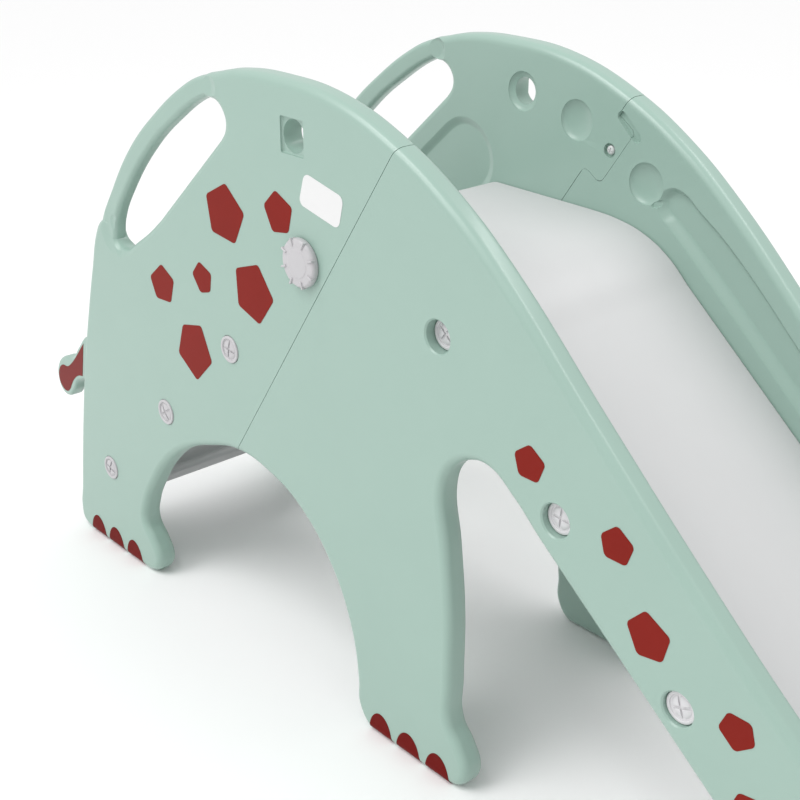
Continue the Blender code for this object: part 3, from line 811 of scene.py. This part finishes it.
# ---------------------------------------------------------------- fasteners
def make_bolt():
    """A bolt at the origin: y = 0 is its face, and its shank runs along +Y.

    Four lobes stand in its dished head, parted by a cross slot.
    """
    rim, floor, seat = BOLT_RADIUS, 0.0018, BOLT_HEAD - GAP
    profile = (
        (0.0, -0.0002), (0.0055, -0.0001), (0.0085, 0.0003), (0.0104, 0.0009), (0.0113, 0.0014),
        (0.0117, floor), (0.0131, floor), (0.0134, 0.0006), (0.0137, 0.0002), (0.0142, 0.0),
        (0.0160, 0.0), (0.0167, 0.0004), (rim, 0.0012), (rim, seat), (BOLT_SHANK, seat),
        (BOLT_SHANK, 0.030), (0.0, 0.030),
    )
    bolt = turned("bolt", profile, Vector(), 72)
    for turn in (0, pi / 2):
        deselect()
        bpy.ops.mesh.primitive_cube_add(
            size=1, scale=(0.0246, 0.0060, 0.0030), rotation=(0, turn, 0),
            location=(0, floor - 0.0030, 0),
        )
        cut(bolt, settle(named("slot")))
    return soften(bolt, 0.0006, 50, 3)


def place_bolt(bolt, name, centre, face_depth, turn):
    """A copy of the bolt in its bore, with the shank long enough to reach its socket's end."""
    made = duplicate(bolt, name)
    made.rotation_euler = (0, turn, 0)
    made.location = centre + Vector((0, -OUTER + face_depth, 0))
    settle(made)
    shank_end = -INNER + BOLT_GRIP
    for vertex in made.data.vertices:
        if vertex.co.y > -OUTER + face_depth + 0.02:
            vertex.co.y = shank_end
    return made


def make_knob():
    """A flat round knob with a raised middle, short ribs round its edge and a shaft."""
    face = -OUTER - GAP
    front = face - KNOB_THICKNESS + 0.0018
    r = KNOB_RADIUS - 0.0010
    shaft_end = -INNER + BOLT_GRIP
    profile = (
        (0.0, front - 0.0006), (0.0150, front - 0.0006), (0.0160, front - 0.0005),
        (0.0166, front - 0.0001), (0.0172, front), (0.0240, front), (0.0256, front + 0.0004),
        (0.0268, front + 0.0013), (r - 0.0003, front + 0.0026), (r, front + 0.0042),
        (r, face - 0.0012), (r - 0.0008, face), (KNOB_SHAFT, face), (KNOB_SHAFT, shaft_end),
        (0.0, shaft_end),
    )
    knob = turned("right_knob_body", profile, KNOB_CENTRE, 96)
    for index in range(KNOB_RIBS):
        angle = 2 * pi * (index + 0.5) / KNOB_RIBS + 0.06
        out = Vector((cos(angle) * 0.0244, front + 0.0019, -sin(angle) * 0.0244))
        deselect()
        bpy.ops.mesh.primitive_cube_add(
            size=1, scale=(0.0086, 0.0070, 0.0023), rotation=(0, angle, 0),
            location=KNOB_CENTRE + out,
        )
        join(knob, soften(settle(named("rib")), 0.0007, 30, 3))
    return shade(knob, 40)


def make_lap_screw():
    """A small domed screw with a cross slot. Its head faces inward, in the dish of the tongue."""
    seat = -INNER - LAP_SCREW_SEAT + GAP
    profile = (
        (0.0, seat - 0.021), (0.0015, seat - 0.021), (0.0025, seat - 0.019), (0.0025, seat),
        (0.0055, seat), (0.0055, seat + 0.0012), (0.0045, seat + 0.0026), (0.0025, seat + 0.0032),
        (0.0, seat + 0.0033),
    )
    screw = turned("right_screw", profile, LAP_SCREW, 48)
    for turn in (0.4, 0.4 + pi / 2):
        deselect()
        bpy.ops.mesh.primitive_cube_add(
            size=1, scale=(0.0065, 0.004, 0.0011), rotation=(0, turn, 0),
            location=LAP_SCREW + Vector((0, seat + 0.0042, 0)),
        )
        cut(screw, settle(named("slot")))
    return shade(screw, 40)


# ---------------------------------------------------------------- labels
def rounded_polygon(name, corners, corner_radius):
    """A label on the right side's outer face, from its corners."""
    deselect()
    bpy.ops.mesh.primitive_circle_add(vertices=len(corners), radius=1, fill_type="NGON")
    piece = named(name)
    for vertex, (x, z) in zip(piece.data.vertices, corners):
        vertex.co = at(x, z, -OUTER - PROUD)
    bevel = {"offset": corner_radius, "offset_type": "OFFSET", "segments": 6, "affect": "VERTICES"}
    edit(piece, (bpy.ops.mesh.bevel, bevel))
    return thicken(piece)


def thicken(piece):
    """Gives a flat label its thickness, outward, and a slight rounding."""
    move = {"TRANSFORM_OT_translate": {"value": (0, -LABEL, 0)}}
    edit(piece, (bpy.ops.mesh.extrude_region_move, move))
    clean_normals(piece)
    return shade(soften(piece, 0.00012, 60, 1), 40)


def blank_label():
    """The plain white label under the accessory socket."""
    corners = [(x / 1000, z / 1000) for x, z in PLAIN_LABEL]
    return rounded_polygon("right_plain_label", corners, PLAIN_LABEL_CORNER)


def rounded_foot(y, z):
    """How far the panel's face has curved in at the height z above the floor."""
    if z >= EDGE:
        return y
    return y + EDGE - sqrt(max(EDGE**2 - (EDGE - z) ** 2, 0.0))


def nail(name, start, end, height):
    """A toenail: half an ellipse on the floor line, bent round the lower edge of the foot."""
    deselect()
    upright = (pi / 2, 0, 0)
    bpy.ops.mesh.primitive_circle_add(vertices=64, radius=1, fill_type="NGON", rotation=upright)
    piece = settle(named(name))
    only(piece)
    bpy.ops.object.mode_set(mode="EDIT")
    bpy.ops.mesh.select_all(action="SELECT")
    bpy.ops.mesh.bisect(plane_co=(0, 0, NAIL_BASE), plane_no=(0, 0, 1), clear_inner=True)
    for level in NAIL_ROWS:
        bpy.ops.mesh.select_all(action="SELECT")
        bpy.ops.mesh.bisect(plane_co=(0, 0, level / height), plane_no=(0, 0, 1))
    bpy.ops.mesh.select_all(action="SELECT")
    bpy.ops.mesh.extrude_region_move(TRANSFORM_OT_translate={"value": (0, -1, 0)})
    bpy.ops.object.mode_set(mode="OBJECT")
    middle, half = (start + end) / 2, (end - start) / 2
    for vertex in piece.data.vertices:
        x, z = middle + vertex.co.x * half, max(vertex.co.z, NAIL_BASE) * height
        layer = PROUD if vertex.co.y > -0.5 else PROUD + LABEL
        place = at(x, z)
        vertex.co = (place.x, rounded_foot(-OUTER, z) - layer, z)
    return shade(clean_normals(piece), 40)


# ---------------------------------------------------------------- materials
def new_group(name, outputs, inputs):
    group = bpy.data.node_groups.new(name, "ShaderNodeTree")
    for label, kind, default in inputs:
        socket_type = "NodeSocket" + kind
        socket = group.interface.new_socket(name=label, in_out="INPUT", socket_type=socket_type)
        if default is not None:
            socket.default_value = default
    for label, kind in outputs:
        group.interface.new_socket(name=label, in_out="OUTPUT", socket_type="NodeSocket" + kind)
    return group


def noise(nodes, scale, detail, roughness=0.5):
    texture = nodes.new("ShaderNodeTexNoise")
    texture.inputs["Scale"].default_value = scale
    texture.inputs["Detail"].default_value = detail
    texture.inputs["Roughness"].default_value = roughness
    return texture


def remap(nodes, links, source, low, high, to_low, to_high):
    node = nodes.new("ShaderNodeMapRange")
    node.inputs["From Min"].default_value = low
    node.inputs["From Max"].default_value = high
    node.inputs["To Min"].default_value = to_low
    node.inputs["To Max"].default_value = to_high
    links.new(source, node.inputs["Value"])
    return node.outputs["Result"]


def moulded_surface():
    """Shared by all the mouldings: fine grain, slow waviness, cloudy pigment and scuffs."""
    group = new_group(
        "moulded_surface",
        (("Height", "Float"), ("Cloud", "Float"), ("Scuff", "Float")),
        (("Grain Scale", "Float", 900.0), ("Grain Depth", "Float", 0.3), ("Wave Depth", "Float", 1.0)),
    )
    nodes, links = group.nodes, group.links
    entry, leave = nodes.new("NodeGroupInput"), nodes.new("NodeGroupOutput")
    place = nodes.new("ShaderNodeTexCoord").outputs["Object"]
    grain = noise(nodes, 900.0, 2.0, 0.6)
    links.new(entry.outputs["Grain Scale"], grain.inputs["Scale"])
    wave = noise(nodes, 9.0, 1.0, 0.4)
    cloud = noise(nodes, 14.0, 4.0, 0.6)
    scratch = noise(nodes, 1.0, 6.0, 0.7)
    stretch = nodes.new("ShaderNodeMapping")
    stretch.inputs["Scale"].default_value = (60.0, 60.0, 420.0)
    stretch.inputs["Rotation"].default_value = (0.0, radians(40), 0.0)
    links.new(place, stretch.inputs["Vector"])
    for texture in (grain, wave, cloud):
        links.new(place, texture.inputs["Vector"])
    links.new(stretch.outputs["Vector"], scratch.inputs["Vector"])
    fine = nodes.new("ShaderNodeMath")
    fine.operation = "MULTIPLY"
    links.new(grain.outputs["Fac"], fine.inputs[0])
    links.new(entry.outputs["Grain Depth"], fine.inputs[1])
    slow = nodes.new("ShaderNodeMath")
    slow.operation = "MULTIPLY_ADD"
    links.new(wave.outputs["Fac"], slow.inputs[0])
    links.new(entry.outputs["Wave Depth"], slow.inputs[1])
    links.new(fine.outputs["Value"], slow.inputs[2])
    links.new(slow.outputs["Value"], leave.inputs["Height"])
    clouded = remap(nodes, links, cloud.outputs["Fac"], 0.3, 0.7, 0.0, 1.0)
    scuffed = remap(nodes, links, scratch.outputs["Fac"], 0.62, 0.75, 0.0, 1.0)
    links.new(clouded, leave.inputs["Cloud"])
    links.new(scuffed, leave.inputs["Scuff"])
    return group


def plastic(
    name, colour, shade_colour, roughness, grain_scale=900.0, grain=0.3, wave=1.0, depth=0.00012,
    specular=0.5, coat=0.0,
):
    """Moulded plastic: two near colours mixed by the cloudiness, and roughness from the scuffs."""
    made = bpy.data.materials.new(name)
    made.use_nodes = True
    nodes, links = made.node_tree.nodes, made.node_tree.links
    shader = nodes["Principled BSDF"]
    surface = nodes.new("ShaderNodeGroup")
    surface.node_tree = bpy.data.node_groups.get("moulded_surface") or moulded_surface()
    surface.inputs["Grain Scale"].default_value = grain_scale
    surface.inputs["Grain Depth"].default_value = grain
    surface.inputs["Wave Depth"].default_value = wave
    mix = nodes.new("ShaderNodeMix")
    mix.data_type = "RGBA"
    mix.inputs["A"].default_value = (*colour, 1.0)
    mix.inputs["B"].default_value = (*shade_colour, 1.0)
    links.new(surface.outputs["Cloud"], mix.inputs["Factor"])
    links.new(mix.outputs["Result"], shader.inputs["Base Color"])
    scuffed = min(roughness + 0.10, 1.0)
    rough = remap(nodes, links, surface.outputs["Scuff"], 0.0, 1.0, roughness, scuffed)
    links.new(rough, shader.inputs["Roughness"])
    bump = nodes.new("ShaderNodeBump")
    bump.inputs["Strength"].default_value = 1.0
    bump.inputs["Distance"].default_value = depth
    links.new(surface.outputs["Height"], bump.inputs["Height"])
    links.new(bump.outputs["Normal"], shader.inputs["Normal"])
    shader.inputs["Specular IOR Level"].default_value = specular
    shader.inputs["Coat Weight"].default_value = coat
    shader.inputs["Coat Roughness"].default_value = 0.18
    return made


def dress(piece, material, body="frame", replaced=()):
    piece.data.materials.clear()
    piece.data.materials.append(material)
    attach(piece, body)
    if replaced:
        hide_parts(*replaced)


# ---------------------------------------------------------------- stage
def make_floor():
    deselect()
    bpy.ops.mesh.primitive_plane_add(size=1, location=(0, 0, 0))
    floor = named("floor")
    floor.scale = (30, 30, 1)
    settle(floor)
    made = bpy.data.materials.new("pale_floor")
    made.use_nodes = True
    shader = made.node_tree.nodes["Principled BSDF"]
    shader.inputs["Base Color"].default_value = (0.93, 0.93, 0.93, 1)
    shader.inputs["Roughness"].default_value = 0.7
    floor.data.materials.append(made)


def aim(lamp, place, target):
    bpy.context.scene.collection.objects.link(lamp)
    lamp.location = place
    lamp.rotation_euler = (target - place).to_track_quat("-Z", "Y").to_euler()


def softbox(name, place, target, size, power):
    light = bpy.data.lights.new(name, "AREA")
    light.shape = "RECTANGLE"
    light.size, light.size_y = size
    light.energy = power
    aim(bpy.data.objects.new(name, light), place, target)


def broad_light(name, place, target, spread, strength):
    light = bpy.data.lights.new(name, "SUN")
    light.angle = radians(spread)
    light.energy = strength
    aim(bpy.data.objects.new(name, light), place, target)


def light_the_studio():
    world = bpy.data.worlds.new("studio")
    bpy.context.scene.world = world
    world.use_nodes = True
    back = world.node_tree.nodes["Background"]
    back.inputs["Color"].default_value = (1.0, 1.0, 1.0, 1.0)
    back.inputs["Strength"].default_value = 0.80
    middle = Vector((0.0, 0.0, 0.4))
    broad_light("key", Vector((-0.9, -2.0, 2.6)), middle, 35, 1.15)
    softbox("rim", Vector((-0.35, -1.2, 2.9)), middle, (1.8, 0.3), 14)
    softbox("top", Vector((0.9, 0.9, 2.4)), middle, (2.2, 0.3), 14)


def place_camera():
    camera = bpy.data.cameras.new("camera")
    camera.sensor_width = 36.0
    camera.lens = 62.98
    viewer = bpy.data.objects.new("camera", camera)
    bpy.context.scene.collection.objects.link(viewer)
    viewer.location = at(1.6934, 1.0440, -0.8788 - OUTER)
    viewer.rotation_euler = (radians(65.866), 0.0, radians(48.506))
    bpy.context.scene.camera = viewer


# ---------------------------------------------------------------- assembly
def make_finishes():
    """Every plastic of the slide, by what it is used for. The bolt plastic is painted light: it is a
    lighter copy of the fastener plastic.
    """
    soft_gloss = 0.30, 1400.0, 0.2, 0.3
    wet_gloss = 0.16, 1400.0, 0.1, 0.2
    return {
        "mint": plastic("mint_plastic", (0.306, 0.438, 0.380), (0.299, 0.430, 0.373), 0.36, coat=0.25),
        "pale": plastic("pale_plastic", (0.605, 0.605, 0.61), (0.595, 0.595, 0.60), 0.42),
        "tread": plastic("tread_plastic", (0.45, 0.45, 0.455), (0.43, 0.43, 0.435), 0.45),
        "knob": plastic("fastener_plastic", (0.505, 0.495, 0.510), (0.487, 0.477, 0.492), *soft_gloss),
        # Painted light: the bolts sunk in the bed use the knob's plastic made lighter, to make up for
        # the shade of their bores
        "bolt": plastic("bolt_plastic", (0.64, 0.63, 0.645), (0.62, 0.61, 0.625), *soft_gloss),
        "screw": plastic("screw_plastic", (0.62, 0.63, 0.63), (0.60, 0.61, 0.61), *wet_gloss),
    }


def make_films():
    """The label films, by a word in the name of the label."""
    white = plastic(
        "plain_film", (0.73, 0.73, 0.73), (0.72, 0.72, 0.72), 0.35, 1200.0, 0.2, 0.3, 0.00005, 0.3,
    )
    films = {
        "spot": ("spot_film", (0.214, 0.011, 0.006), (0.196, 0.010, 0.005), 0.10),
        "toenail": ("toenail_film", (0.145, 0.004, 0.003), (0.135, 0.004, 0.002), 0.05),
        "tail": ("tail_film", (0.180, 0.012, 0.009), (0.169, 0.010, 0.008), 0.15),
    }
    films = {
        key: plastic(name, near, far, 0.38, 1200.0, 0.3, 0.4, 0.00006, specular)
        for key, (name, near, far, specular) in films.items()
    }
    films["plain"] = white
    return films


def fit_mouldings(finishes):
    rear, front = make_right_side()
    for side in ("right", "left"):
        for right, part in ((rear, "rear"), (front, "front")):
            piece = right
            if side == "left":
                piece = shade(mirror(right, f"{side}_{part}_shell"), 40)
            dress(piece, finishes["mint"], "frame", (f"{side}_{part}_panel",))
    dress(make_bed(), finishes["pale"], "frame", ("slide_bed",))
    for name, centre in STEPS.items():
        dress(make_step(name, centre), finishes["tread"], "frame", (name,))


def fit_bolts(finishes):
    bolt = make_bolt()
    seats = [(name + "_bolt", centre, STEP_BOLT_FACE) for name, centre in STEPS.items()]
    seats += [(f"bed_bolt_{i + 1}", centre, depth) for i, (centre, depth) in enumerate(BED_BOLTS)]
    for (name, centre, depth), turn in zip(seats, BOLT_TURNS):
        right = shade(place_bolt(bolt, f"right_{name}_head", centre, depth, radians(turn)), 40)
        left = shade(mirror(right, f"left_{name}_head"), 40)
        # Bolts sunk in the bed get the lighter copy of the plastic, as painted light against the shade
        # of their bores
        finish = finishes["knob" if depth < 0 else "bolt"]
        dress(right, finish, "frame", (f"right_{name}",))
        dress(left, finish, "frame", (f"left_{name}",))
    bpy.data.objects.remove(bolt)


def fit_knobs_and_screws(finishes):
    knob = make_knob()
    left_knob = shade(mirror(knob, "left_knob_body"), 40)
    dress(knob, finishes["knob"], "right_knob", ("right_hand_knob",))
    dress(left_knob, finishes["knob"], "left_knob", ("left_hand_knob",))
    screw = make_lap_screw()
    left_screw = shade(mirror(screw, "left_screw"), 40)
    dress(screw, finishes["screw"], "frame", ("right_lap_screw",))
    dress(left_screw, finishes["screw"], "frame", ("left_lap_screw",))


def fit_labels(films):
    labels = []
    for name, corners in SPOTS.items():
        corners = [(x / 1000, z / 1000 + LABEL_LIFT) for x, z in corners]
        labels.append(rounded_polygon("right_" + name, corners, LABEL_CORNER))
    feet = ("rear", REAR_NAILS, REAR_NAIL_HEIGHT), ("front", FRONT_NAILS, FRONT_NAIL_HEIGHT)
    for foot, nails, height in feet:
        for index, (start, end) in enumerate(nails):
            labels.append(nail(f"right_{foot}_toenail_{index + 1}", start, end, height))
    labels.append(blank_label())
    labels.append(thicken(flat("right_tail_tip", TAIL_LABEL, -OUTER + TAIL_INSET - PROUD, 6)))
    for label in labels:
        left = shade(mirror(label, label.name.replace("right_", "left_", 1)), 40)
        film = next(films[key] for key in films if key in label.name)
        dress(label, film)
        dress(left, film)


def main():
    finishes = make_finishes()
    films = make_films()
    fit_mouldings(finishes)
    fit_bolts(finishes)
    fit_knobs_and_screws(finishes)
    fit_labels(films)
    make_floor()
    light_the_studio()
    place_camera()
    bpy.context.scene.view_settings.view_transform = "Standard"


main()
